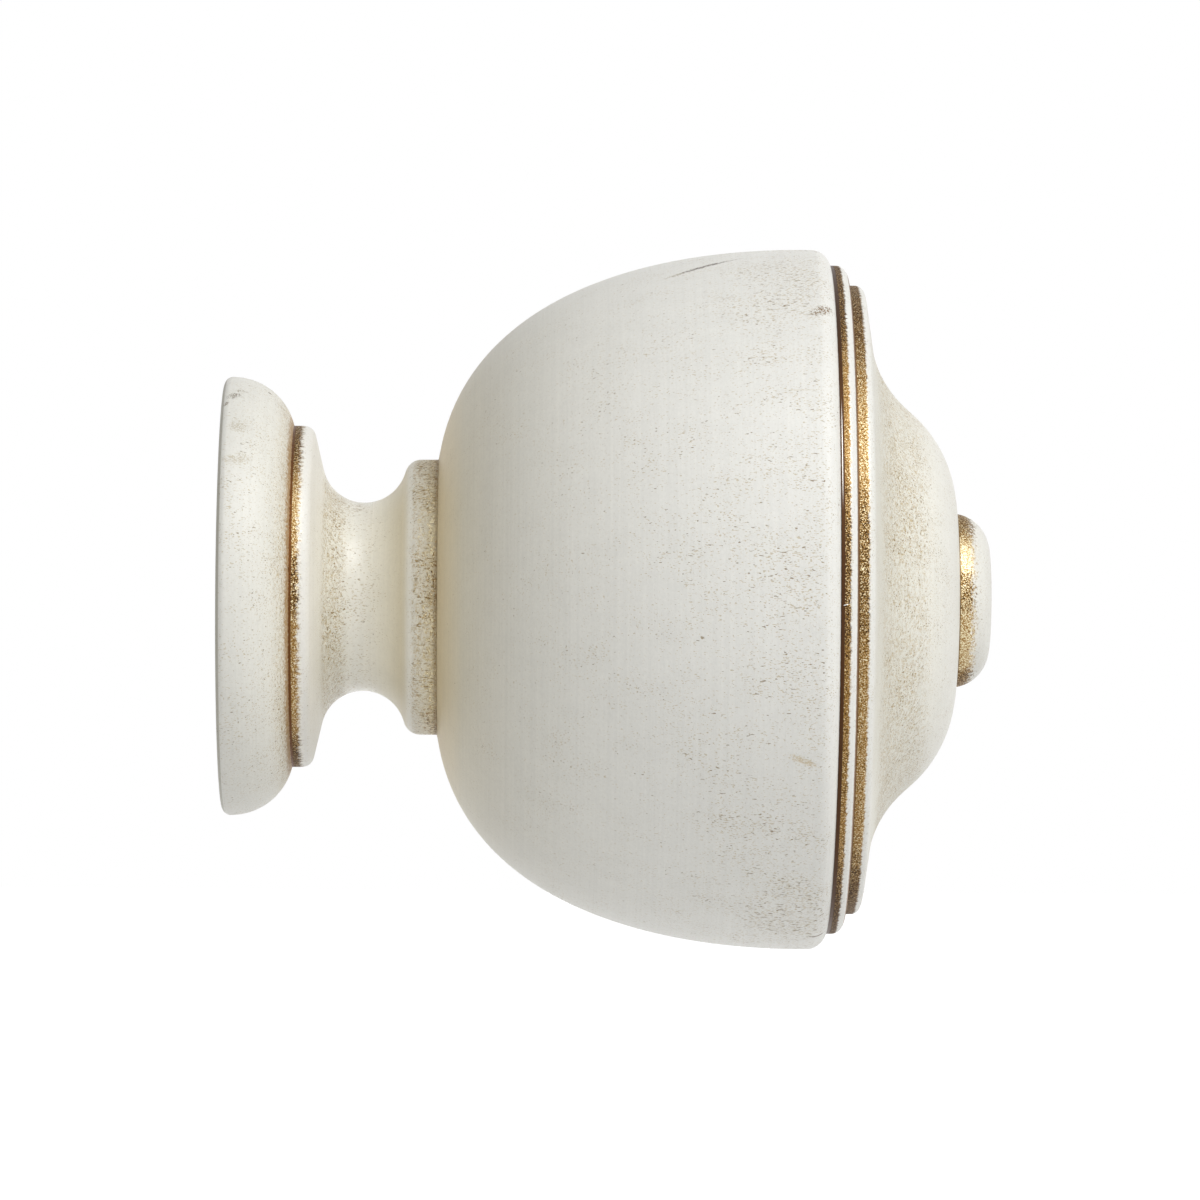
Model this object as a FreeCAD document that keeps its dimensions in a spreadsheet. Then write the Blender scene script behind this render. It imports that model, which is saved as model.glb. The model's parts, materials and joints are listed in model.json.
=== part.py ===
import FreeCAD, Part
import os
from collections import namedtuple
from math import pi, radians

import Sketcher

# Curtain pole finial: one block of wood, turned about X and fixed to the end of a pole by a hidden screw.
# The base face lies at X = 0, the button's tip points along +X, and +Z is up.

NODE = "finial"

# Driving sizes in the order they come along the axis: name, millimetres or degrees, what it measures.
SIZES = (
    ("foot_radius", 28.2, "radius of the foot"),
    ("foot_length", 8.9, "base face to the disc"),
    ("foot_edge_round", 1.1, "rounding of the base face's edge"),
    ("disc_radius", 21.95, "radius of the disc on the foot"),
    ("disc_land", 1.3, "straight part of the disc's rim"),
    ("disc_edge_round", 1.5, "rounding of the disc's edge"),
    ("cove_inset", 0.85, "axial run of the slope from the disc to the cove"),
    ("cove_radius", 5.45, "radius of the hollow round the neck"),
    ("neck_radius", 12.1, "radius of the neck at its thinnest"),
    ("collar_edge_run", 1.85, "axial run of the collar's rounded edge"),
    ("collar_radius", 17.7, "radius of the collar"),
    ("collar_land", 2.2, "straight part of the collar"),
    ("bowl_lean", 8.0, "degrees off square at which the bowl leaves the collar"),
    ("bowl_hip_reach", 20.3, "length of the curve handle at the collar"),
    ("bowl_shoulder_reach", 21.2, "length of the curve handle at the bowl's crest"),
    ("bowl_length", 46.27, "collar to the bowl's crest"),
    ("bowl_radius", 45.0, "radius of the bowl at its crest"),
    ("rim_land", 1.33, "straight part of the bowl's rim"),
    ("rim_run", 2.4, "axial run of the rim's rounded edge"),
    ("first_bead_radius", 43.0, "radius of the bead next to the bowl"),
    ("first_bead_land", 0.8, "straight part of that bead"),
    ("first_bead_round", 1.4, "rounding of that bead's edge"),
    ("second_bead_radius", 40.45, "radius of the bead next to the cap"),
    ("second_bead_land", 1.1, "straight part of that bead"),
    ("second_bead_round", 1.1, "rounding of that bead's edge"),
    ("cap_lean", 8.5, "degrees off square at which the cap leaves the bead"),
    ("cap_hollow_radius", 14.4, "radius of the ogee's hollow part"),
    ("cap_crown_radius", 16.2, "radius of the ogee's full part"),
    ("cap_eye_radius", 11.7, "radius at which the cap turns square to the axis"),
    ("cap_length", 12.08, "bead to the button"),
    ("button_radius", 11.2, "radius of the button at the cap"),
    ("button_face_radius", 6.3, "radius of the button's end face"),
    ("button_length", 4.4, "cap to the rim of the button's end face"),
    ("button_dome", 0.2, "height of the end face's dome"),
    ("screw_hole_diameter", 7.0, "pilot hole for the fixing screw"),
    ("screw_hole_depth", 30.0, "depth of its straight wall"),
    ("drill_point_angle", 118.0, "degrees across the drill's point"),
)

STEM_COVE_CENTRE = "Sizes.disc_land + Sizes.disc_edge_round + Sizes.cove_inset + Sizes.cove_radius"
STEM_COLLAR = STEM_COVE_CENTRE + " + Sizes.cove_radius + Sizes.collar_edge_run"
BOWL_RIM = "Sizes.bowl_length + Sizes.rim_land"

# A sketch's own origin, and its axis, on which the turning axis lies.
ORIGIN = (-1, 1)
AXIS = -1

Curve = namedtuple("Curve", "left right centre")


def make_sheet(doc):
    sheet = doc.addObject("Spreadsheet::Sheet", "Sizes")
    for row, (name, value, meaning) in enumerate(SIZES, start=1):
        sheet.set(f"A{row}", meaning)
        sheet.set(f"B{row}", str(value))
        sheet.setAlias(f"B{row}", name)
    doc.recompute()


def attach(body, sketch, role):
    plane = next(feature for feature in body.Origin.OriginFeatures if feature.Role == role)
    sketch.AttachmentSupport = (plane, [""])
    sketch.MapMode = "FlatFace"


class Profile:
    """Half profile of one section of the turning, drawn from its left end to its right end.

    A place is a pair of expressions: the distance along the axis from the section's left end, and
    the radius. A curve's left, right and centre are vertices of the sketch.
    """

    def __init__(self, body, name, start):
        self.name = name
        self.sketch = body.newObject("Sketcher::SketchObject", name + "_profile")
        attach(body, self.sketch, "XZ_Plane")
        self.sketch.setExpression(".AttachmentOffset.Base.x", start)

    def vector(self, place):
        along, radius = (float(self.sketch.evalExpression(part)) for part in place)
        return FreeCAD.Vector(along, radius, 0)

    def line(self, left, right):
        index = self.sketch.addGeometry(Part.LineSegment(self.vector(left), self.vector(right)))
        return Curve((index, 1), (index, 2), None)

    def arc(self, left, right, centre, hollow=False):
        # Arcs run anticlockwise, so a hollow one starts at its left end and a full one at its right end.
        middle = self.vector(centre)
        spokes = [self.vector(place) - middle for place in ((left, right) if hollow else (right, left))]
        across = FreeCAD.Vector(1, 0, 0)
        upright = FreeCAD.Vector(0, 0, 1)
        angles = [across.getAngle(spoke) * (1 if spoke.y >= 0 else -1) for spoke in spokes]
        circle = Part.Circle(middle, upright, spokes[0].Length)
        index = self.sketch.addGeometry(Part.ArcOfCircle(circle, *angles))
        first, last = (index, 1), (index, 2)
        if hollow:
            return Curve(first, last, (index, 3))
        return Curve(last, first, (index, 3))

    def spline(self, poles):
        curve = Part.BSplineCurve()
        curve.buildFromPoles([self.vector(pole) for pole in poles], False, len(poles) - 1)
        index = self.sketch.addGeometry(curve)
        self.sketch.exposeInternalGeometry(index)
        for number, pole in enumerate(poles, start=1):
            self.fix((index + number, 3), *pole)
        return Curve((index, 1), (index, 2), None)

    def bind(self, kind, *members, size):
        value = float(self.sketch.evalExpression(size))
        first_value = radians(value) if kind == "Angle" else value
        index = self.sketch.addConstraint(Sketcher.Constraint(kind, *members, first_value))
        self.sketch.setExpression(f"Constraints[{index}]", size)

    def fix(self, vertex, along, radius):
        # The left face stands on the origin, so a place there takes no distance along the axis.
        if along != "0":
            self.bind("DistanceX", *ORIGIN, *vertex, size=along)
        if radius == "0":
            self.relate("PointOnObject", vertex, (AXIS,))
        else:
            self.bind("DistanceY", *ORIGIN, *vertex, size=radius)

    def relate(self, kind, *vertices):
        self.sketch.addConstraint(Sketcher.Constraint(kind, *(part for vertex in vertices for part in vertex)))

    def close(self, first, last):
        # The section's two flat faces and its stretch of the axis.
        start = self.sketch.getPoint(*first.left)
        end = self.sketch.getPoint(*last.right)
        left_foot = FreeCAD.Vector(start.x, 0, 0)
        right_foot = FreeCAD.Vector(end.x, 0, 0)
        left_face = self.sketch.addGeometry(Part.LineSegment(left_foot, start))
        axis = self.sketch.addGeometry(Part.LineSegment(left_foot, right_foot))
        self.relate("Coincident", ORIGIN, (left_face, 1))
        self.relate("Vertical", (left_face,))
        self.relate("Coincident", (left_face, 2), first.left)
        self.relate("Coincident", ORIGIN, (axis, 1))
        if end.y == 0:
            self.relate("Coincident", (axis, 2), last.right)
            return
        right_face = self.sketch.addGeometry(Part.LineSegment(right_foot, end))
        self.relate("Coincident", (axis, 2), (right_face, 1))
        self.relate("Horizontal", (axis,))
        self.relate("Vertical", (right_face,))
        self.relate("Coincident", (right_face, 2), last.right)


def draw_foot(profile):
    face_edge = ("0", "Sizes.foot_radius - Sizes.foot_edge_round")
    crest = ("Sizes.foot_edge_round", "Sizes.foot_radius")
    disc_corner = ("Sizes.foot_length", "Sizes.disc_radius")
    edge = profile.arc(face_edge, crest, ("Sizes.foot_edge_round", "Sizes.foot_radius - Sizes.foot_edge_round"))
    ovolo = profile.arc(crest, disc_corner, ("Sizes.foot_edge_round", "Sizes.disc_radius"))
    profile.fix(edge.left, *face_edge)
    profile.fix(edge.right, *crest)
    profile.relate("Vertical", edge.centre, edge.right)
    profile.relate("Coincident", edge.right, ovolo.left)
    profile.relate("Vertical", ovolo.centre, ovolo.left)
    profile.fix(ovolo.right, *disc_corner)
    profile.close(edge, ovolo)


def draw_stem(profile):
    disc_corner = ("0", "Sizes.disc_radius")
    disc_crest = ("Sizes.disc_land", "Sizes.disc_radius")
    disc_centre = ("Sizes.disc_land", "Sizes.disc_radius - Sizes.disc_edge_round")
    disc_side = ("Sizes.disc_land + Sizes.disc_edge_round", "Sizes.disc_radius - Sizes.disc_edge_round")
    cove_centre = (STEM_COVE_CENTRE, "Sizes.neck_radius + Sizes.cove_radius")
    cove_left = (STEM_COVE_CENTRE + " - Sizes.cove_radius", "Sizes.neck_radius + Sizes.cove_radius")
    cove_right = (STEM_COVE_CENTRE + " + Sizes.cove_radius", "Sizes.neck_radius + Sizes.cove_radius")
    collar_crest = (STEM_COLLAR, "Sizes.collar_radius")
    collar_centre = (STEM_COLLAR, "Sizes.collar_radius - Sizes.collar_edge_run")
    collar_side = (STEM_COLLAR + " - Sizes.collar_edge_run", "Sizes.collar_radius - Sizes.collar_edge_run")
    bowl_corner = (STEM_COLLAR + " + Sizes.collar_land", "Sizes.collar_radius")

    disc = profile.line(disc_corner, disc_crest)
    disc_edge = profile.arc(disc_crest, disc_side, disc_centre)
    slope = profile.line(disc_side, cove_left)
    cove = profile.arc(cove_left, cove_right, cove_centre, hollow=True)
    collar_edge = profile.arc(collar_side, collar_crest, collar_centre)
    collar = profile.line(collar_crest, bowl_corner)

    profile.fix(disc.left, *disc_corner)
    profile.fix(disc.right, *disc_crest)
    profile.relate("Coincident", disc.right, disc_edge.left)
    profile.relate("Vertical", disc_edge.centre, disc_edge.left)
    profile.bind("Radius", disc_edge.centre[0], size="Sizes.disc_edge_round")
    profile.relate("Tangent", disc_edge.right, slope.left)
    profile.relate("Tangent", slope.right, cove.left)
    profile.fix(cove.centre, *cove_centre)
    profile.bind("Radius", cove.centre[0], size="Sizes.cove_radius")
    profile.relate("Tangent", cove.right, collar_edge.left)
    profile.fix(collar_edge.right, *collar_crest)
    profile.relate("Vertical", collar_edge.centre, collar_edge.right)
    profile.relate("Coincident", collar_edge.right, collar.left)
    profile.fix(collar.right, *bowl_corner)
    profile.close(disc, collar)


def draw_bowl(profile):
    collar_corner = ("0", "Sizes.collar_radius")
    hip = (
        "Sizes.bowl_hip_reach * sin(Sizes.bowl_lean * 1 deg)",
        "Sizes.collar_radius + Sizes.bowl_hip_reach * cos(Sizes.bowl_lean * 1 deg)",
    )
    shoulder = ("Sizes.bowl_length - Sizes.bowl_shoulder_reach", "Sizes.bowl_radius")
    crest = ("Sizes.bowl_length", "Sizes.bowl_radius")
    rim_crest = (BOWL_RIM, "Sizes.bowl_radius")
    rim_centre = (BOWL_RIM, "Sizes.first_bead_radius")
    rim_side = (BOWL_RIM + " + Sizes.rim_run", "Sizes.first_bead_radius")

    wall = profile.spline((collar_corner, hip, shoulder, crest))
    rim = profile.line(crest, rim_crest)
    rim_edge = profile.arc(rim_crest, rim_side, rim_centre)

    profile.relate("Coincident", wall.right, rim.left)
    profile.fix(rim.right, *rim_crest)
    profile.relate("Coincident", rim.right, rim_edge.left)
    profile.relate("Vertical", rim_edge.centre, rim_edge.left)
    profile.fix(rim_edge.right, *rim_side)
    profile.close(wall, rim_edge)


def draw_bead(profile):
    radius, land, edge_round = (f"Sizes.{profile.name}_{part}" for part in ("radius", "land", "round"))
    corner = ("0", radius)
    crest = (land, radius)
    side = (f"{land} + {edge_round}", f"{radius} - {edge_round}")
    rim = profile.line(corner, crest)
    edge = profile.arc(crest, side, (land, f"{radius} - {edge_round}"))
    profile.fix(rim.left, *corner)
    profile.fix(rim.right, *crest)
    profile.relate("Coincident", rim.right, edge.left)
    profile.relate("Vertical", edge.centre, edge.left)
    profile.fix(edge.right, *side)
    profile.close(rim, edge)


def draw_cap(profile):
    bead_edge = ("0", "Sizes.second_bead_radius - Sizes.second_bead_round")
    eye = ("Sizes.cap_length", "Sizes.cap_eye_radius")
    crown_centre = ("Sizes.cap_length - Sizes.cap_crown_radius", "Sizes.cap_eye_radius")
    # First guesses of where the three curves meet, which their tangency then settles.
    half_radius = f"({bead_edge[1]} + {eye[1]}) / 2"
    half_way = ("Sizes.cap_length / 2", half_radius)
    hollow_left = ("Sizes.cap_length / 12", f"({bead_edge[1]} + {half_radius}) / 2")
    hollow_centre = (f"{hollow_left[0]} + Sizes.cap_hollow_radius", hollow_left[1])

    slope = profile.line(bead_edge, hollow_left)
    hollow = profile.arc(hollow_left, half_way, hollow_centre, hollow=True)
    crown = profile.arc(half_way, eye, crown_centre)

    profile.fix(slope.left, *bead_edge)
    profile.bind("Angle", slope.left[0], size="Sizes.cap_lean - 90")
    profile.relate("Tangent", slope.right, hollow.left)
    profile.bind("Radius", hollow.centre[0], size="Sizes.cap_hollow_radius")
    profile.relate("Tangent", hollow.right, crown.left)
    profile.bind("Radius", crown.centre[0], size="Sizes.cap_crown_radius")
    profile.fix(crown.right, *eye)
    profile.relate("Horizontal", crown.centre, crown.right)
    profile.close(slope, crown)


def draw_button(profile):
    seat = ("0", "Sizes.button_radius")
    face_rim = ("Sizes.button_length", "Sizes.button_face_radius")
    tip = ("Sizes.button_length + Sizes.button_dome", "0")
    edge = profile.arc(seat, face_rim, ("0", "Sizes.button_face_radius"))
    dome = profile.arc(face_rim, tip, ("-Sizes.button_face_radius", "0"))
    profile.fix(edge.left, *seat)
    profile.fix(edge.right, *face_rim)
    profile.relate("Horizontal", edge.centre, edge.right)
    profile.relate("Coincident", edge.right, dome.left)
    profile.relate("PointOnObject", dome.centre, (AXIS,))
    profile.fix(dome.right, *tip)
    profile.close(edge, dome)


# Sections in order from the pole: name, length along the axis, and what draws the half profile.
SECTIONS = (
    ("foot", "Sizes.foot_length", draw_foot),
    ("stem", STEM_COLLAR + " + Sizes.collar_land", draw_stem),
    ("bowl", BOWL_RIM + " + Sizes.rim_run", draw_bowl),
    ("first_bead", "Sizes.first_bead_land + Sizes.first_bead_round", draw_bead),
    ("second_bead", "Sizes.second_bead_land + Sizes.second_bead_round", draw_bead),
    ("cap", "Sizes.cap_length", draw_cap),
    ("button", "Sizes.button_length + Sizes.button_dome", draw_button),
)


def turn(body):
    start = "0"
    for name, length, draw in SECTIONS:
        profile = Profile(body, name, start)
        draw(profile)
        section = body.newObject("PartDesign::Revolution", name)
        section.Profile = profile.sketch
        section.ReferenceAxis = (profile.sketch, ["H_Axis"])
        start += " + " + length


def drill_screw_hole(doc, body):
    place = body.newObject("Sketcher::SketchObject", "screw_hole_place")
    attach(body, place, "YZ_Plane")
    radius = place.evalExpression("Sizes.screw_hole_diameter") / 2
    ring = place.addGeometry(Part.Circle(FreeCAD.Vector(), FreeCAD.Vector(0, 0, 1), radius))
    place.addConstraint(Sketcher.Constraint("Coincident", *ORIGIN, ring, 3))
    size = place.addConstraint(Sketcher.Constraint("Radius", ring, radius))
    place.setExpression(f"Constraints[{size}]", "Sizes.screw_hole_diameter / 2")
    doc.recompute()
    turned_volume = body.Shape.Volume
    hole = body.newObject("PartDesign::Hole", "screw_hole")
    hole.Profile = place
    hole.Threaded = False
    hole.DepthType = "Dimension"
    hole.DrillPoint = "Angled"
    hole.Reversed = True
    hole.setExpression("Diameter", "Sizes.screw_hole_diameter")
    hole.setExpression("Depth", "Sizes.screw_hole_depth")
    hole.setExpression("DrillPointAngle", "Sizes.drill_point_angle")
    doc.recompute()
    wall_volume = pi * radius ** 2 * hole.Depth.Value
    if turned_volume - body.Shape.Volume < wall_volume:
        raise RuntimeError("the screw hole doesn't go into the foot")


def check(doc, body):
    for item in doc.Objects:
        if "Invalid" in item.State or "Error" in item.State:
            raise RuntimeError(f"{item.Name} failed: {item.State}")
        if item.TypeId == "Sketcher::SketchObject" and not item.FullyConstrained:
            raise RuntimeError(f"{item.Name} isn't fully constrained")
    if body.Shape.isNull() or not body.Shape.isValid() or len(body.Shape.Solids) != 1:
        raise RuntimeError("the finial isn't one valid solid")


def main():
    doc = FreeCAD.newDocument("CurtainPoleFinial")
    make_sheet(doc)
    body = doc.addObject("PartDesign::Body", "Finial")
    body.Label = NODE
    turn(body)
    drill_screw_hole(doc, body)
    check(doc, body)
    os.makedirs("parts", exist_ok=True)
    body.Shape.exportStep(f"parts/{body.Label}.step")
    box = body.Shape.optimalBoundingBox(False, False)
    print(f"{body.Label}: {box.XLength:.2f} x {box.YLength:.2f} x {box.ZLength:.2f} mm")


main()
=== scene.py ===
import json
from math import cos, pi, radians, sin

import bmesh
import bpy
from mathutils import Matrix, Vector

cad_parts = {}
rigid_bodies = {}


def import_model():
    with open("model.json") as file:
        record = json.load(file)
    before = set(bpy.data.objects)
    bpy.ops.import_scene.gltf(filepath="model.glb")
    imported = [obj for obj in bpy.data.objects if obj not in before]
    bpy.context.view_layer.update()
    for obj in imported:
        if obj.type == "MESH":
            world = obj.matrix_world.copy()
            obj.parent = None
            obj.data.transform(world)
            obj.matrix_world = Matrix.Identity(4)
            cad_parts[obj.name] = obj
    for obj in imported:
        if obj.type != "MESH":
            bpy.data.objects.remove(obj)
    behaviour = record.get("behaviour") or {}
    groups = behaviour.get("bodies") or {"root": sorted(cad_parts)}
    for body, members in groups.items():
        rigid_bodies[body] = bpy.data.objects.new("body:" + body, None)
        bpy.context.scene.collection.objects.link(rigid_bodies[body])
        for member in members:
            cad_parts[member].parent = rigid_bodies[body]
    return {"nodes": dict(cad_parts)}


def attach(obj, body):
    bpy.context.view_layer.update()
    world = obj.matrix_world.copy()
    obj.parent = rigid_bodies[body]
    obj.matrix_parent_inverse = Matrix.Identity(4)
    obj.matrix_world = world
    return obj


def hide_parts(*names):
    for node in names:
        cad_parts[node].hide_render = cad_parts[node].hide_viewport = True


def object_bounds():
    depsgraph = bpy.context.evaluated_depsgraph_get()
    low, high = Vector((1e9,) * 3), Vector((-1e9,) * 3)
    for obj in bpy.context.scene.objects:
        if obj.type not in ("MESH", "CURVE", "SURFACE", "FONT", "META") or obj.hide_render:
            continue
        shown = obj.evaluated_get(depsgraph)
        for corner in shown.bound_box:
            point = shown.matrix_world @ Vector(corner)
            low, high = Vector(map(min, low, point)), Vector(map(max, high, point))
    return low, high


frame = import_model()
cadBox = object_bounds()
print("frame loaded, box", [round(side * 1000, 1) for side in cadBox[1] - cadBox[0]], "mm")


# Node helpers: each adds its nodes and gives back the socket to wire on.

def wire(tree, kind, sockets, out=0, **settings):
    made = tree.nodes.new("ShaderNode" + kind)
    for name, value in settings.items():
        setattr(made, name, value)
    for key, value in sockets.items():
        if isinstance(value, bpy.types.NodeSocket):
            tree.links.new(value, made.inputs[key])
        else:
            made.inputs[key].default_value = value
    return made.outputs[out]


def calc(tree, operation, *values):
    return wire(tree, "Math", dict(enumerate(values)), operation=operation)


def total(tree, *values):
    result = values[0]
    for value in values[1:]:
        result = calc(tree, "ADD", result, value)
    return result


def product(tree, *values):
    result = values[0]
    for value in values[1:]:
        result = calc(tree, "MULTIPLY", result, value)
    return result


def inverse(tree, value):
    return calc(tree, "SUBTRACT", 1.0, value)


def step(tree, value, low, high):  # 0 below low, 1 above high; low may be the larger one
    return wire(tree, "MapRange", {"Value": value, "From Min": low, "From Max": high},
                interpolation_type="SMOOTHSTEP")


def stretch(tree, vector, factors):
    return wire(tree, "VectorMath", {0: vector, 1: factors}, operation="MULTIPLY")


def rgba(colour):
    return (*colour, 1.0)


def blend(tree, share, under, over, kind="MIX"):
    return wire(tree, "Mix", {0: share, 6: under, 7: over}, out=2, data_type="RGBA", blend_type=kind)


def alongRamp(tree, value, stops, length=100.0):  # stops: millimetres along the axis and a level or a colour
    made = tree.nodes.new("ShaderNodeValToRGB")
    tree.links.new(calc(tree, "DIVIDE", value, length), made.inputs[0])
    ramp = made.color_ramp
    for number, (place, level) in enumerate(stops):
        colour = level if isinstance(level, tuple) else (level, level, level)
        spot = ramp.elements[number] if number < 2 else ramp.elements.new(place / length)
        spot.position = place / length
        spot.color = rgba(colour)
    return made.outputs[0]


# The turned body: the CAD solid's half profile, turned again in even quads.

turning = {
    "steps": 96,  # doubled by the subdivision
    "cornerTurn": 25,  # degrees; a profile point that turns more is a corner
    "cornerRound": 0.00012,
    "cornerSegments": 3,
    "mergeWithin": 1e-6,
    "smoothing": 1,
}


def cutProfile():
    bm = bmesh.new()
    bm.from_mesh(frame["nodes"]["finial"].data)
    bmesh.ops.remove_doubles(bm, verts=bm.verts, dist=turning["mergeWithin"])
    for normal, bothSides in (((0, 1, 0), True), ((0, 0, 1), False)):
        bmesh.ops.bisect_plane(bm, geom=bm.verts[:] + bm.edges[:] + bm.faces[:], dist=turning["mergeWithin"],
                               plane_co=(0, 0, 0), plane_no=normal, clear_inner=True, clear_outer=bothSides)
    return bm


def cornerPoints(bm):
    corners = []
    for point in bm.verts:
        if len(point.link_edges) == 2:
            before, after = (edge.other_vert(point).co - point.co for edge in point.link_edges)
            if pi - before.angle(after) > radians(turning["cornerTurn"]):
                corners.append(point)
    return corners


def turnBody():
    bm = cutProfile()
    corners = cornerPoints(bm)
    print("half profile:", len(bm.verts), "points,", len(corners), "corners")
    bmesh.ops.bevel(bm, geom=corners, offset=turning["cornerRound"], affect="VERTICES",
                    segments=turning["cornerSegments"], profile=0.5, material=-1, clamp_overlap=True)
    bmesh.ops.spin(bm, geom=bm.verts[:] + bm.edges[:], cent=(0, 0, 0), axis=(1, 0, 0), angle=2 * pi,
                   steps=turning["steps"], use_merge=True)
    bmesh.ops.remove_doubles(bm, verts=bm.verts, dist=turning["mergeWithin"])
    bmesh.ops.recalc_face_normals(bm, faces=bm.faces)
    for face in bm.faces:
        face.smooth = True
    mesh = bpy.data.meshes.new("turnedBody")
    bm.to_mesh(mesh)
    bm.free()
    body = bpy.data.objects.new("turnedBody", mesh)
    bpy.context.scene.collection.objects.link(body)
    smooth = body.modifiers.new("smooth", "SUBSURF")
    smooth.levels = smooth.render_levels = turning["smoothing"]
    print("turned body:", len(mesh.polygons), "faces before smoothing")
    return body


# The finish. Lengths are in millimetres: "along" counts from the base face, "around" is degrees up from the front.

noise = {  # stretch along each axis if any, scale, detail, roughness
    "lines": ((1.0, 1.0, 0.4), 2.6, 3.0, 0.6),  # marks of turning; laid on the profile, the others in space
    "mottle": ((0.5, 1.0, 1.0), 0.35, 3.0, 0.55),
    "weave": ((1.3, 1.0, 1.0), 2.4, 2.0, 0.6),
    "fibres": ((1.0, 1.0, 0.55), 2.6, 4.0, 0.75),  # roughened end grain
    "veins": ((1.0, 1.0, 0.7), 1.7, 1.0, 0.5),
    "cluster": ((0.6, 1.0, 1.0), 0.22, 2.0, 0.6),  # where pores gather
    "dashes": ((0.34, 1.0, 1.0), 4.6, 1.0, 0.5),
    "dots": ((0.40, 1.0, 1.0), 6.6, 1.0, 0.5),
    "gaps": ((0.36, 1.0, 1.0), 3.0, 1.0, 0.5),
    "ragged": (None, 3.0, 3.0, 0.7),  # edges of the rubbed marks
    "crumbs": (None, 5.0, 2.0, 0.6),
    "comb": ((0.15, 1.0, 1.0), 2.0, 2.0, 0.6),  # edges of the gilt
    "grit": (None, 2.6, 3.0, 0.65),
    "leaf": (None, 6.0, 2.0, 0.6),
}


def cloud(tree, vector, name):
    factors, scale, detail, roughness = noise[name]
    if factors:
        vector = stretch(tree, vector, factors)
    return wire(tree, "TexNoise", {"Vector": vector, "Scale": scale, "Detail": detail, "Roughness": roughness})


def centred(tree, value):  # noise about 0 in place of one half
    return calc(tree, "SUBTRACT", value, 0.5)


def readSurface(tree):  # where a point lies: in space, along the axis, off it, and its height on the unit ring
    place = wire(tree, "VectorMath", {0: wire(tree, "TexCoord", {}, out="Object"), "Scale": 1000.0},
                 operation="SCALE")
    outward = stretch(tree, place, (0.0, 1.0, 1.0))
    ring = wire(tree, "VectorMath", {0: outward}, operation="NORMALIZE")
    surface = {
        "place": place,
        "along": wire(tree, "SeparateXYZ", {0: place}),
        "offAxis": wire(tree, "VectorMath", {0: outward}, out="Value", operation="LENGTH"),
        "ringHeight": wire(tree, "SeparateXYZ", {0: ring}, out=2),
    }
    profile = wire(tree, "CombineXYZ", {0: surface["along"], 1: surface["offAxis"], 2: surface["ringHeight"]})
    surface["lines"] = cloud(tree, profile, "lines")
    for name in ("mottle", "weave", "grit"):
        surface[name] = cloud(tree, place, name)
    return surface


def within(tree, surface, largest, soft=0.1):  # 1 nearer to the axis than that radius
    return step(tree, surface["offAxis"], largest + soft, largest - soft)


def surfaceSpot(along, around):  # the place on the solid and its outward normal
    outward = Vector((0, -cos(radians(around)), sin(radians(around))))
    start = Vector((along / 1000, 0, 0)) + outward * 0.1
    _, spot, normal, _ = frame["nodes"]["finial"].ray_cast(start, -outward)
    return spot, normal


def blot(tree, surface, along, around, halfLength, halfWidth, tilt=0.0, depth=2.0):  # 0 in its middle, 1 at its edge
    spot, normal = surfaceSpot(along, around)
    lengthways = (Vector((1, 0, 0)) - normal * normal.x).normalized()
    lengthways = Matrix.Rotation(radians(tilt), 3, normal) @ lengthways
    crossways = normal.cross(lengthways)
    offset = wire(tree, "VectorMath", {0: surface["place"], 1: spot * 1000}, operation="SUBTRACT")
    reaches = {}
    for number, (axis, half) in enumerate(((lengthways, halfLength), (crossways, halfWidth), (normal, depth))):
        reaches[number] = wire(tree, "VectorMath", {0: offset, 1: axis / half}, out="Value", operation="DOT_PRODUCT")
    return wire(tree, "VectorMath", {0: wire(tree, "CombineXYZ", reaches)}, out="Value", operation="LENGTH")


# White paint with a warm wash, painted shade and painted light along the axis, and the marks of turning.

paint = {
    "white": (0.80, 0.793, 0.757),
    "shade": 0.835,  # with the three shares below it comes to about 1
    "byLines": 0.12,
    "byMottle": 0.08,
    "byWeave": 0.13,
    "washAndPaintedShading": (  # a warm wash rubbed into the white along the axis, with painted shade and painted light: above 1 in the cove, darker and warmer on the bowl by the collar, darker at the cap's corner and towards the button's end
        (0.0, (0.955, 0.95, 0.92)),
        (6.5, (0.99, 0.985, 0.945)),
        (8.6, (1.08, 1.055, 0.985)),
        (10.9, (1.03, 1.02, 1.0)),
        (12.3, (1.07, 1.055, 1.01)),
        (13.6, (1.10, 1.08, 1.0)),
        (17.2, (1.05, 1.035, 0.98)),
        (21.0, (1.02, 0.97, 0.835)),
        (23.2, (0.95, 0.87, 0.69)),
        (24.0, (1.03, 1.01, 0.945)),
        (26.0, (1.10, 1.05, 0.91)),
        (27.3, (0.93, 0.82, 0.60)),
        (27.9, (0.86, 0.73, 0.50)),
        (29.2, (0.90, 0.80, 0.60)),
        (31.0, (0.88, 0.835, 0.71)),
        (34.0, (0.87, 0.84, 0.755)),
        (38.0, (0.905, 0.89, 0.835)),
        (45.0, (0.965, 0.958, 0.925)),
        (55.0, (0.985, 0.983, 0.965)),
        (76.0, (1.0, 1.0, 0.99)),
        (81.6, (1.0, 1.0, 0.985)),
        (82.2, (0.88, 0.865, 0.80)),
        (85.5, (1.0, 0.985, 0.915)),
        (88.5, (1.04, 1.025, 0.965)),
        (92.0, (0.985, 0.975, 0.935)),
        (98.0, (0.95, 0.945, 0.915)),
    ),
}


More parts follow.
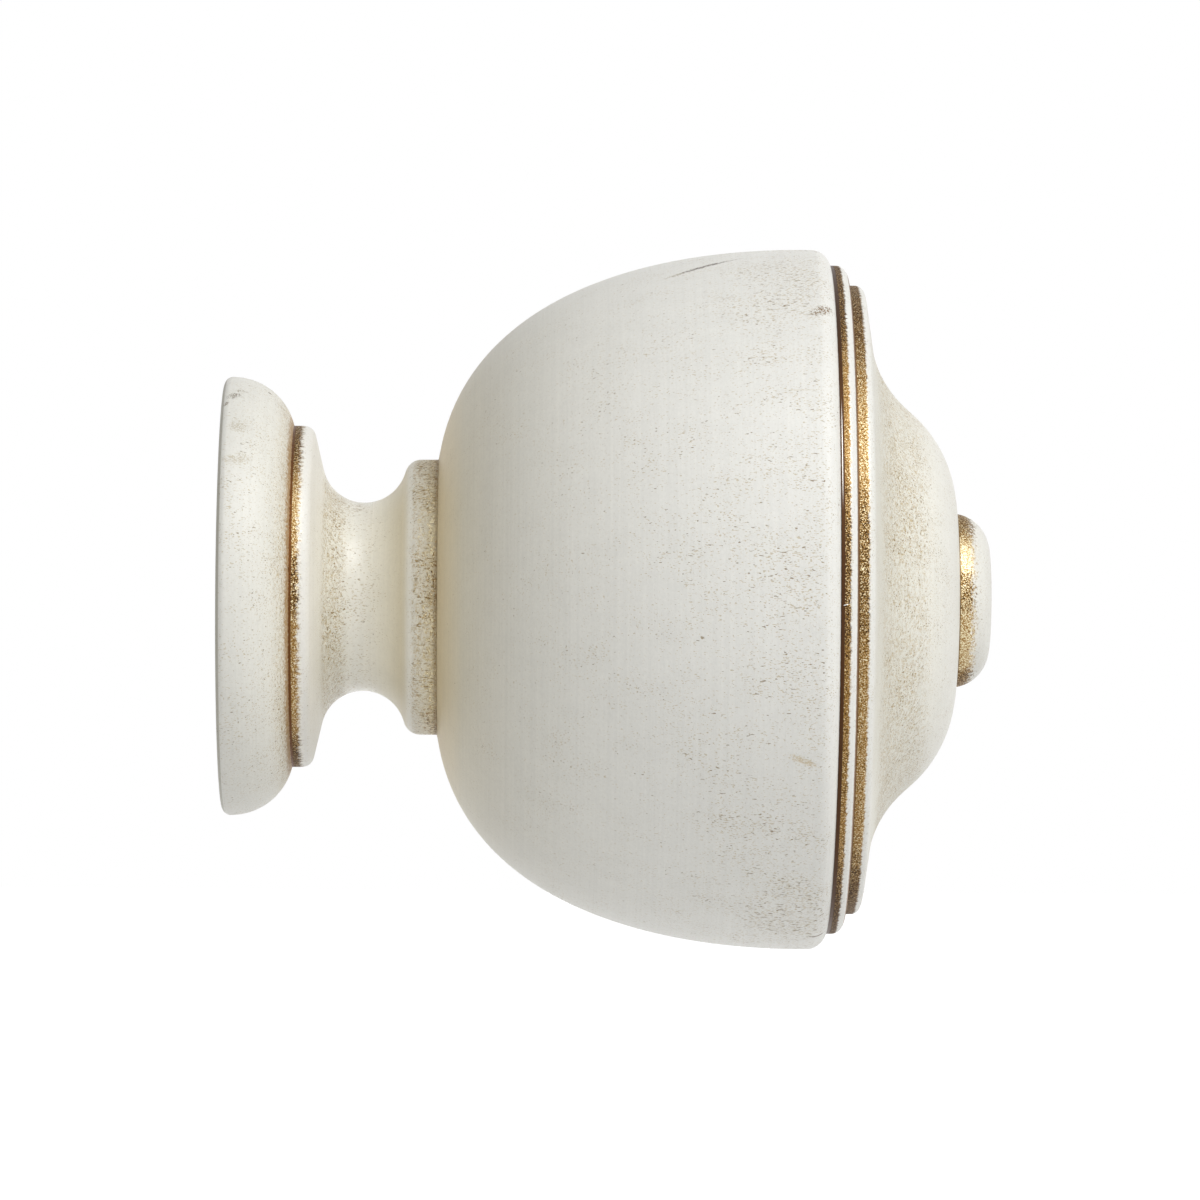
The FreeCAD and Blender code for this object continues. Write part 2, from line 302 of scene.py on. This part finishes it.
def layWhite(tree, surface):
    # the wash also carries painted shade and painted light along the axis
    washedAndShaded = blend(tree, 1.0, rgba(paint["white"]), alongRamp(tree, surface["along"], paint["washAndPaintedShading"]), "MULTIPLY")
    shade = total(tree, paint["shade"], product(tree, surface["lines"], paint["byLines"]),
                  product(tree, surface["mottle"], paint["byMottle"]),
                  product(tree, surface["weave"], paint["byWeave"]))
    return blend(tree, 1.0, washedAndShaded, shade, "MULTIPLY")


# Pores that the paint leaves open: dashes along the grain, dots, and wide gaps where they gather.

pores = {
    "density": (  # along the axis
        (0.0, 0.40), (6.5, 0.52), (8.4, 0.85), (10.8, 0.10), (12.3, 0.25), (13.2, 0.92), (14.8, 0.88),
        (16.2, 0.55), (19.5, 0.45), (20.6, 0.05), (23.6, 0.05), (24.5, 0.85), (27.4, 0.95), (28.2, 0.05),
        (33.0, 0.20), (50.0, 0.25), (62.0, 0.46), (75.0, 0.57), (78.0, 0.25), (82.2, 0.45), (84.0, 0.85),
        (88.0, 0.80), (91.0, 0.50), (94.0, 0.40), (98.0, 0.35),
    ),
    "patches": (  # where they gather: along, around, half length, half width, strength
        (70.0, 62.0, 10.0, 16.0, 1.2),
        (70.0, 0.0, 9.0, 9.0, 0.4),
        (59.0, 28.0, 2.5, 3.5, 1.0),
        (68.0, -42.0, 9.0, 8.0, 1.0),
        (72.0, -62.0, 10.0, 13.0, 1.9),
        (85.5, 26.0, 4.0, 9.0, 1.0),
        (14.8, 50.0, 2.5, 6.0, 1.0),
        (18.9, 2.0, 2.0, 3.0, 1.0),
        (16.8, 70.0, 3.6, 3.6, 2.2),
        (14.5, -22.0, 2.2, 7.0, 1.0),
        (25.8, 12.0, 2.0, 5.0, 1.0),
        (25.5, 62.0, 2.0, 6.0, 1.0),
    ),
    "patchDepth": 20.0,
    "byDensity": 0.13,  # how far each lowers the noise that opens a pore
    "byCluster": 0.22,
    "byPatch": 0.032,
    "gapByPatch": 0.088,
    "dashFrom": 0.865,  # noise that opens a pore, softness of its edge, cover
    "dashSoft": 0.09,
    "dashCover": 0.8,
    "dotFrom": 0.785,
    "dotSoft": 0.11,
    "dotCover": 0.6,
    "gapFrom": 0.80,
    "gapSoft": 0.08,
    "endGrain": (0.50, 0.85),  # densities between which the roughened end grain comes in
    "endDashes": 0.020,  # more dashes and fewer dots there
    "endDots": 0.018,
    "endShade": 0.50,
    "endStain": (0.01, 0.17),
    "stainCover": 0.42,
    "crackWidth": (0.036, 0.012),
    "crackBroken": (0.44, 0.56),
    "crackCover": 0.56,
    "tan": (0.48, 0.375, 0.19),
    "brown": (0.23, 0.15, 0.058),
    "ochre": (0.47, 0.305, 0.055),  # in place of the tan on end grain
    "umber": (0.26, 0.15, 0.018),  # in place of the brown there
}


def roughenEndGrain(tree, surface, colour, endZone):
    place = surface["place"]
    endGrain = product(tree, endZone, centred(tree, cloud(tree, place, "fibres")))
    colour = blend(tree, 1.0, colour, inverse(tree, product(tree, endGrain, pores["endShade"])), "MULTIPLY")
    stain = product(tree, step(tree, endGrain, *pores["endStain"]), pores["stainCover"])
    colour = blend(tree, stain, colour, rgba(pores["ochre"]))
    veins = calc(tree, "ABSOLUTE", centred(tree, cloud(tree, place, "veins")))
    cracks = product(tree, step(tree, veins, *pores["crackWidth"]), endZone,
                     step(tree, surface["grit"], *pores["crackBroken"]))
    surface.update(endGrain=endGrain, cracks=cracks)
    return blend(tree, product(tree, cracks, pores["crackCover"]), colour, rgba(pores["ochre"]))


def openPores(tree, surface, colour):
    place = surface["place"]
    density = alongRamp(tree, surface["along"], pores["density"])
    endZone = step(tree, density, *pores["endGrain"])
    colour = roughenEndGrain(tree, surface, colour, endZone)
    patches = 0.0
    for *spot, strength in pores["patches"]:
        patch = step(tree, blot(tree, surface, *spot, depth=pores["patchDepth"]), 1.0, 0.3)
        patches = calc(tree, "MAXIMUM", patches, product(tree, patch, strength))
    openness = total(tree, product(tree, density, pores["byDensity"]),
                     product(tree, cloud(tree, place, "cluster"), pores["byCluster"]),
                     product(tree, patches, pores["byPatch"]))
    dashes = cloud(tree, place, "dashes")
    dashFrom = calc(tree, "SUBTRACT", pores["dashFrom"],
                    total(tree, openness, product(tree, endZone, pores["endDashes"])))
    dashMask = step(tree, dashes, dashFrom, calc(tree, "ADD", dashFrom, pores["dashSoft"]))
    fewerDots = total(tree, pores["dotFrom"], product(tree, endZone, pores["endDots"]))
    dotFrom = calc(tree, "SUBTRACT", fewerDots, openness)
    dotMask = step(tree, cloud(tree, place, "dots"), dotFrom, calc(tree, "ADD", dotFrom, pores["dotSoft"]))
    gapFrom = calc(tree, "SUBTRACT", pores["gapFrom"], product(tree, patches, pores["gapByPatch"]))
    gapMask = step(tree, cloud(tree, place, "gaps"), gapFrom, calc(tree, "ADD", gapFrom, pores["gapSoft"]))
    poreMask = calc(tree, "MAXIMUM", dashMask, gapMask)
    dotTone = blend(tree, endZone, rgba(pores["tan"]), rgba(pores["ochre"]))
    poreTone = blend(tree, endZone, rgba(pores["brown"]), rgba(pores["umber"]))
    colour = blend(tree, product(tree, dotMask, pores["dotCover"]), colour, dotTone)
    surface.update(dashes=dashes, poreMask=poreMask, dotMask=dotMask)
    return blend(tree, product(tree, poreMask, pores["dashCover"]), colour, poreTone)


# Places where the white is rubbed through.

rubbed = {
    "raggedBy": 2.2,
    "crumbs": (0.44, 0.58),
    "edge": (1.1, 0.5),
    "marks": (  # along, around, half length, half width, tilt off the axis, how far broken up, strength, colour
        (61.2, 73.2, 5.4, 0.36, 27.0, 0.7, 0.95, (0.11, 0.05, 0.004)),  # the long scratch: its whole length
        (61.0, 73.1, 3.4, 0.55, 27.0, 0.9, 1.0, (0.05, 0.018, 0.001)),  # and its deep middle
        (57.4, 70.6, 1.6, 0.40, 22.0, 0.8, 0.6, (0.40, 0.32, 0.19)),
        (75.5, 53.6, 2.0, 0.95, 35.0, 1.0, 1.0, (0.20, 0.105, 0.02)),
        (73.0, -26.2, 2.0, 0.55, -22.0, 0.7, 0.6, (0.53, 0.39, 0.16)),
        (76.0, -72.2, 1.6, 0.26, -15.0, 0.2, 1.0, (0.16, 0.10, 0.04)),
        (0.7, 60.0, 0.6, 0.40, 50.0, 0.8, 0.9, (0.20, 0.14, 0.07)),
        (1.6, 64.6, 1.2, 0.80, 38.0, 1.0, 0.9, (0.17, 0.115, 0.055)),
        (2.5, 68.4, 0.9, 0.50, 20.0, 1.0, 0.7, (0.30, 0.23, 0.13)),
        (5.95, 77.8, 0.34, 0.34, 0.0, 0.0, 0.9, (0.20, 0.14, 0.08)),
        (2.4, 50.0, 1.4, 1.2, 30.0, 1.0, 0.5, (0.42, 0.34, 0.19)),
        (2.4, 38.0, 2.2, 0.9, 10.0, 1.0, 0.5, (0.46, 0.37, 0.21)),
        (60.4, -6.2, 0.26, 0.20, 0.0, 0.0, 0.8, (0.30, 0.23, 0.12)),
        (72.7, 35.2, 2.1, 0.14, 0.0, 0.4, 0.35, (0.62, 0.54, 0.36)),
    ),
}


def rubThrough(tree, surface, colour):
    bare = 0.0
    ragged = product(tree, centred(tree, cloud(tree, surface["place"], "ragged")), rubbed["raggedBy"])
    crumbs = step(tree, cloud(tree, surface["place"], "crumbs"), *rubbed["crumbs"])
    for *spot, broken, strength, tone in rubbed["marks"]:
        reach = calc(tree, "ADD", blot(tree, surface, *spot), ragged)
        left = total(tree, 1.0 - broken, product(tree, crumbs, broken))
        mark = product(tree, step(tree, reach, *rubbed["edge"]), left, strength)
        colour = blend(tree, mark, colour, rgba(tone))
        bare = calc(tree, "MAXIMUM", bare, mark)
    surface["bare"] = bare
    return colour


# Gilt in the recesses, its far edge ragged where the white was rubbed back, with painted sheen and painted shade by
# the height on the ring.

gilding = {
    "bands": (  # start, end, largest radius, how far the end is combed out and broken up, softness, brighter by
        (9.20, 10.20, 22.3, 1.2, 1.5, 0.38, -0.01),
        (77.88, 78.72, 43.3, 0.5, 0.6, 0.16, -0.055),
        (79.62, 81.10, 42.3, 0.4, 0.7, 0.16, -0.015),
        (93.9, 95.9, 11.6, 0.6, 3.8, 0.55, 0.045),
    ),
    "startSoft": 0.08,
    "collar": (24.3, 27.7, 18.2),  # flecks only, closing up towards the bowl: start, end, largest radius
    "fleckFrom": 0.635,  # noise that makes a fleck, and how far it drops towards the bowl
    "fleckClosing": 0.17,
    "fleckSoft": 0.06,
    "fleckBrighter": 0.12,
    "grain": 1.3,
    "patchy": 0.3,
    "paintedSheenZones": (  # painted sheen and painted shade on the gilt: height on the unit ring, reach, full reach, brighter by, how far its grain is smoothed
        (0.50, 0.36, 0.08, 0.085, 0.50),
        (-0.46, 0.42, 0.24, 0.062, 0.40),
        (1.00, 0.30, 0.10, -0.045, 0.0),
        (-1.00, 0.24, 0.08, -0.09, 0.0),
    ),
    "darkToMiddle": (0.36, 0.54),
    "middleToLight": (0.53, 0.72),
    "dark": (0.045, 0.022, 0.008),
    "middle": (0.26, 0.143, 0.037),
    "light": (0.66, 0.60, 0.41),
}


def giltBand(tree, surface, start, end, largest, combed, flecked, soft):
    edge = total(tree, end - (combed + flecked) * 0.5, product(tree, surface["comb"], combed),
                 product(tree, surface["grit"], flecked))
    startSoft = gilding["startSoft"]
    return product(tree, step(tree, surface["along"], start - startSoft, start + startSoft),
                   within(tree, surface, largest),
                   step(tree, surface["along"], calc(tree, "ADD", edge, soft), calc(tree, "SUBTRACT", edge, soft)))


def collarFlecks(tree, surface):
    along = surface["along"]
    near, far, largest = gilding["collar"]
    closing = product(tree, step(tree, along, near, far), gilding["fleckClosing"])
    needed = calc(tree, "SUBTRACT", gilding["fleckFrom"], closing)
    return product(tree, step(tree, surface["grit"], needed, calc(tree, "ADD", needed, gilding["fleckSoft"])),
                   step(tree, along, near, near + 0.5), step(tree, along, far + 0.1, far - 0.1),
                   within(tree, surface, largest))


def layGilt(tree, surface, colour):
    surface["comb"] = cloud(tree, surface["place"], "comb")
    giltMask = 0.0
    glint = 0.0
    layers = [(giltBand(tree, surface, *band), brighter) for *band, brighter in gilding["bands"]]
    layers.append((collarFlecks(tree, surface), gilding["fleckBrighter"]))
    for layer, brighter in layers:
        giltMask = calc(tree, "MAXIMUM", giltMask, layer)
        glint = calc(tree, "ADD", glint, product(tree, layer, brighter))
    glint = calc(tree, "ADD", glint, 0.5)
    grain = product(tree, centred(tree, cloud(tree, surface["place"], "leaf")), gilding["grain"])
    # painted highlight on the gilt a third of the way up each ring and below its middle, with smoother grain there;
    # painted shade at its top and bottom
    height = total(tree, surface["ringHeight"], product(tree, centred(tree, surface["mottle"]), gilding["patchy"]))
    for middle, reach, full, gain, smoothed in gilding["paintedSheenZones"]:
        paintedSheen = step(tree, calc(tree, "ABSOLUTE", calc(tree, "SUBTRACT", height, middle)), reach, full)
        glint = calc(tree, "ADD", glint, product(tree, paintedSheen, gain))
        grain = product(tree, grain, inverse(tree, product(tree, paintedSheen, smoothed)))
    glint = calc(tree, "ADD", glint, grain)
    gilt = blend(tree, step(tree, glint, *gilding["darkToMiddle"]), rgba(gilding["dark"]), rgba(gilding["middle"]))
    gilt = blend(tree, step(tree, glint, *gilding["middleToLight"]), gilt, rgba(gilding["light"]))
    surface.update(giltMask=giltMask, glint=glint, grain=grain)
    return blend(tree, giltMask, colour, gilt)


# Brown glaze left in the corners, a grey line of painted shade along the foot's outer edge, and a painted highlight
# in the groove.

glaze = {
    "lines": (  # start, end, largest radius, softness of the start, wobble, strength, colour
        # painted shade: a grey line along the foot's rounded outer edge
        (0.00, 0.40, 28.5, 0.10, 0.2, 0.65, (0.30, 0.28, 0.21)),
        (8.72, 9.05, 25.0, 0.40, 1.5, 0.80, (0.40, 0.215, 0.05)),
        (8.94, 9.28, 22.4, 0.08, 0.2, 1.0, (0.105, 0.040, 0.009)),
        (27.30, 27.60, 18.4, 0.40, 0.4, 0.50, (0.17, 0.105, 0.045)),
        (77.42, 77.95, 43.7, 0.06, 0.1, 1.0, (0.055, 0.024, 0.009)),
        (79.50, 79.66, 42.6, 0.06, 0.1, 1.0, (0.19, 0.098, 0.038)),
        (79.60, 79.88, 40.8, 0.06, 0.1, 1.0, (0.12, 0.060, 0.022)),
        (93.80, 94.16, 11.6, 0.10, 0.2, 0.95, (0.14, 0.085, 0.03)),
    ),
    "edge": 0.06,
    "bronzeFrom": 0.95,  # a line of this strength holds bronze
    "paleMarksAndPaintedHighlight": (  # along, around, half length, half width, tilt, strength
        (77.68, 25.0, 0.07, 9.0, 0.0, 0.6),  # a painted highlight: a thin line of white along the groove on its upper front
        (78.07, -0.8, 0.42, 0.08, 15.0, 0.85),  # a fibre caught in the gilt
    ),
}


def layGlaze(tree, surface, colour):
    along = surface["along"]
    edge = glaze["edge"]
    bronze = 0.0
    for start, end, largest, soft, wobble, strength, tone in glaze["lines"]:
        wobbled = total(tree, along, -wobble * 0.5, product(tree, surface["grit"], wobble))
        line = product(tree, step(tree, wobbled, start - soft, start + edge),
                       step(tree, along, end + edge, end - edge), within(tree, surface, largest), strength)
        colour = blend(tree, line, colour, rgba(tone))
        if strength >= glaze["bronzeFrom"]:
            bronze = calc(tree, "MAXIMUM", bronze, line)
    for *spot, strength in glaze["paleMarksAndPaintedHighlight"]:
        pale = product(tree, step(tree, blot(tree, surface, *spot), 1.0, 0.5), strength)
        colour = blend(tree, pale, colour, rgba(paint["white"]))
    surface["bronze"] = bronze
    return colour


# Plain white on the base face, bare wood inside the screw hole.

base = {
    "face": (0.02, 0.01),
    "faceRadius": 27.1,
    "holeRadius": 3.575,
    "holeSoft": 0.025,
    "holeEnd": (40.0, 39.0),
    "wood": (0.42, 0.29, 0.17),
    "woodShade": 0.8,
    "byDashes": 0.4,
}


def bareBase(tree, surface, colour, plain):
    along = surface["along"]
    face = product(tree, step(tree, along, *base["face"]), within(tree, surface, base["faceRadius"]))
    hole = product(tree, within(tree, surface, base["holeRadius"], base["holeSoft"]),
                   step(tree, along, *base["holeEnd"]))
    shade = total(tree, base["woodShade"], product(tree, surface["dashes"], base["byDashes"]))
    surface["coated"] = inverse(tree, calc(tree, "MAXIMUM", hole, face))
    colour = blend(tree, face, colour, plain)
    return blend(tree, hole, colour, blend(tree, 1.0, rgba(base["wood"]), shade, "MULTIPLY"))


# The material: colour, metal, roughness and relief from the layers above.

finish = {
    "cleanLeaf": (0.40, 0.60),  # glint between which the leaf comes out of its brown glaze
    "leafMetal": (0.70, 0.30),  # under the glaze, and more where it is clean
    "bronzeMetal": 0.85,
    "rough": 0.44,
    "poreRough": 0.3,
    "dullRough": 0.25,
    "neckRough": -0.20,  # burnished in turning
    "neck": ((12.0, 14.0), (21.0, 18.5)),
    "specular": 0.36,
    "relief": (  # height of each layer
        ("lines", 0.12), ("weave", 0.12), ("endGrain", -4.0), ("cracks", -0.35), ("poreMask", -0.5),
        ("dotMask", -0.2), ("bare", -0.5),
    ),
    "leafRelief": 1.2,
    "bumpStrength": 0.6,
    "bumpDistance": 0.00012,
}


def antiqueWhite():
    material = bpy.data.materials.new("antiqueWhite")
    material.use_nodes = True
    tree = material.node_tree
    shader = tree.nodes["Principled BSDF"]
    surface = readSurface(tree)
    plain = layWhite(tree, surface)
    colour = openPores(tree, surface, plain)
    colour = rubThrough(tree, surface, colour)
    colour = layGilt(tree, surface, colour)
    colour = layGlaze(tree, surface, colour)
    colour = bareBase(tree, surface, colour, plain)

    giltMask = surface["giltMask"]
    clean = step(tree, surface["glint"], *finish["cleanLeaf"])
    glazed, cleaner = finish["leafMetal"]
    leaf = product(tree, giltMask, total(tree, glazed, product(tree, clean, cleaner)))
    bronze = product(tree, surface["bronze"], finish["bronzeMetal"])
    metal = product(tree, calc(tree, "MAXIMUM", leaf, bronze), surface["coated"])
    dull = product(tree, giltMask, inverse(tree, clean))
    neck = product(tree, *(step(tree, surface["along"], *end) for end in finish["neck"]))
    rough = total(tree, finish["rough"], product(tree, surface["poreMask"], finish["poreRough"]),
                  product(tree, dull, finish["dullRough"]), product(tree, neck, finish["neckRough"]))
    height = total(tree, *(product(tree, surface[name], level) for name, level in finish["relief"]),
                   product(tree, giltMask, surface["grain"], finish["leafRelief"]))
    bump = wire(tree, "Bump", {"Height": height, "Strength": finish["bumpStrength"],
                               "Distance": finish["bumpDistance"]})
    tree.links.new(colour, shader.inputs["Base Color"])
    tree.links.new(metal, shader.inputs["Metallic"])
    tree.links.new(rough, shader.inputs["Roughness"])
    tree.links.new(bump, shader.inputs["Normal"])
    shader.inputs["Specular IOR Level"].default_value = finish["specular"]
    return material


body = turnBody()
body.data.materials.append(antiqueWhite())
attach(body, "root")
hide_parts("finial")
print("finish laid on")


# Studio: white floor and surround, a softbox high on the right, a broad one from the front and one for the sheen.

studio = {
    "floorDrop": 0.1,  # metres under the axis
    "floorSize": 3.0,
    "floorMiddle": 0.05,  # along the axis
    "floorTone": 0.82,
    "floorRough": 0.9,
    "floorGlow": 0.765,  # what the camera sees on top of the light that falls on it
    "surround": 0.425,  # what the room gives to the object
    "softboxes": (  # name, direction from the object, distance, width, height, power, whether it lights matt surfaces
        ("keySoftbox", (0.58, -0.45, 0.68), 1.1, 0.55, 0.55, 6.3, True),
        ("frontSoftbox", (0.12, -0.93, 0.33), 1.3, 1.0, 1.0, 3.0, True),
        ("stripSoftbox", (0.19, -0.56, 0.81), 1.0, 0.50, 0.60, 3.2, False),  # only for the sheen on the gilt
    ),
}


def whiteToCamera(tree):  # 1 for rays that show the background, 0 for those that light the object
    rays = tree.nodes.new("ShaderNodeLightPath")
    seen = calc(tree, "MAXIMUM", rays.outputs["Is Camera Ray"], rays.outputs["Is Glossy Ray"])
    return calc(tree, "MAXIMUM", seen, rays.outputs["Is Transmission Ray"])


def glow(tree, lit, seen):  # one level for the rays that light, another for those that show
    return wire(tree, "MapRange", {"Value": whiteToCamera(tree), "To Min": lit, "To Max": seen})


def buildSurround():
    world = bpy.data.worlds.new("surround")
    bpy.context.scene.world = world
    world.use_nodes = True
    tree = world.node_tree
    background = tree.nodes["Background"]
    background.inputs["Color"].default_value = (1.0, 1.0, 1.0, 1.0)
    tree.links.new(glow(tree, studio["surround"], 1.0), background.inputs["Strength"])


def whiteFloor():
    material = bpy.data.materials.new("whiteFloor")
    material.use_nodes = True
    tree = material.node_tree
    shader = tree.nodes["Principled BSDF"]
    shader.inputs["Base Color"].default_value = rgba([studio["floorTone"]] * 3)
    shader.inputs["Roughness"].default_value = studio["floorRough"]
    shader.inputs["Specular IOR Level"].default_value = 0.0
    shader.inputs["Emission Color"].default_value = (1.0, 1.0, 1.0, 1.0)
    tree.links.new(glow(tree, 0.0, studio["floorGlow"]), shader.inputs["Emission Strength"])
    return material


def buildFloor():
    bm = bmesh.new()
    bmesh.ops.create_grid(bm, x_segments=1, y_segments=1, size=studio["floorSize"] / 2)
    bmesh.ops.translate(bm, verts=bm.verts, vec=(studio["floorMiddle"], 0, -studio["floorDrop"]))
    mesh = bpy.data.meshes.new("floor")
    bm.to_mesh(mesh)
    bm.free()
    floor = bpy.data.objects.new("floor", mesh)
    bpy.context.scene.collection.objects.link(floor)
    mesh.materials.append(whiteFloor())


def buildLights():
    target = (cadBox[0] + cadBox[1]) / 2
    for name, direction, distance, width, height, power, lightsMatt in studio["softboxes"]:
        lamp = bpy.data.lights.new(name, "AREA")
        lamp.shape = "RECTANGLE"
        lamp.size = width
        lamp.size_y = height
        lamp.energy = power
        holder = bpy.data.objects.new(name, lamp)
        outward = Vector(direction).normalized()
        holder.location = target + outward * distance
        holder.rotation_euler = outward.to_track_quat("Z", "Y").to_euler()
        holder.visible_diffuse = lightsMatt
        bpy.context.scene.collection.objects.link(holder)


# Camera: level with the axis, square on but for a hair of yaw and roll.

view = {
    "place": (0.03788, -0.9088, 0.0),
    "aim": (0.04836, 0.0, -0.00022),
    "roll": 0.367,  # degrees
    "lens": 211.86,  # on the 36 mm sensor
    "nearest": 0.01,
}


def buildCamera():
    lens = bpy.data.cameras.new("camera")
    lens.lens = view["lens"]
    lens.clip_start = view["nearest"]
    camera = bpy.data.objects.new("camera", lens)
    place = Vector(view["place"])
    level = (Vector(view["aim"]) - place).to_track_quat("-Z", "Y").to_matrix()
    turned = level @ Matrix.Rotation(radians(view["roll"]), 3, "Z")
    camera.matrix_world = Matrix.Translation(place) @ turned.to_4x4()
    bpy.context.scene.collection.objects.link(camera)
    bpy.context.scene.camera = camera


buildSurround()
buildFloor()
buildLights()
buildCamera()
bpy.context.scene.view_settings.view_transform = "Standard"
print("studio and camera set")
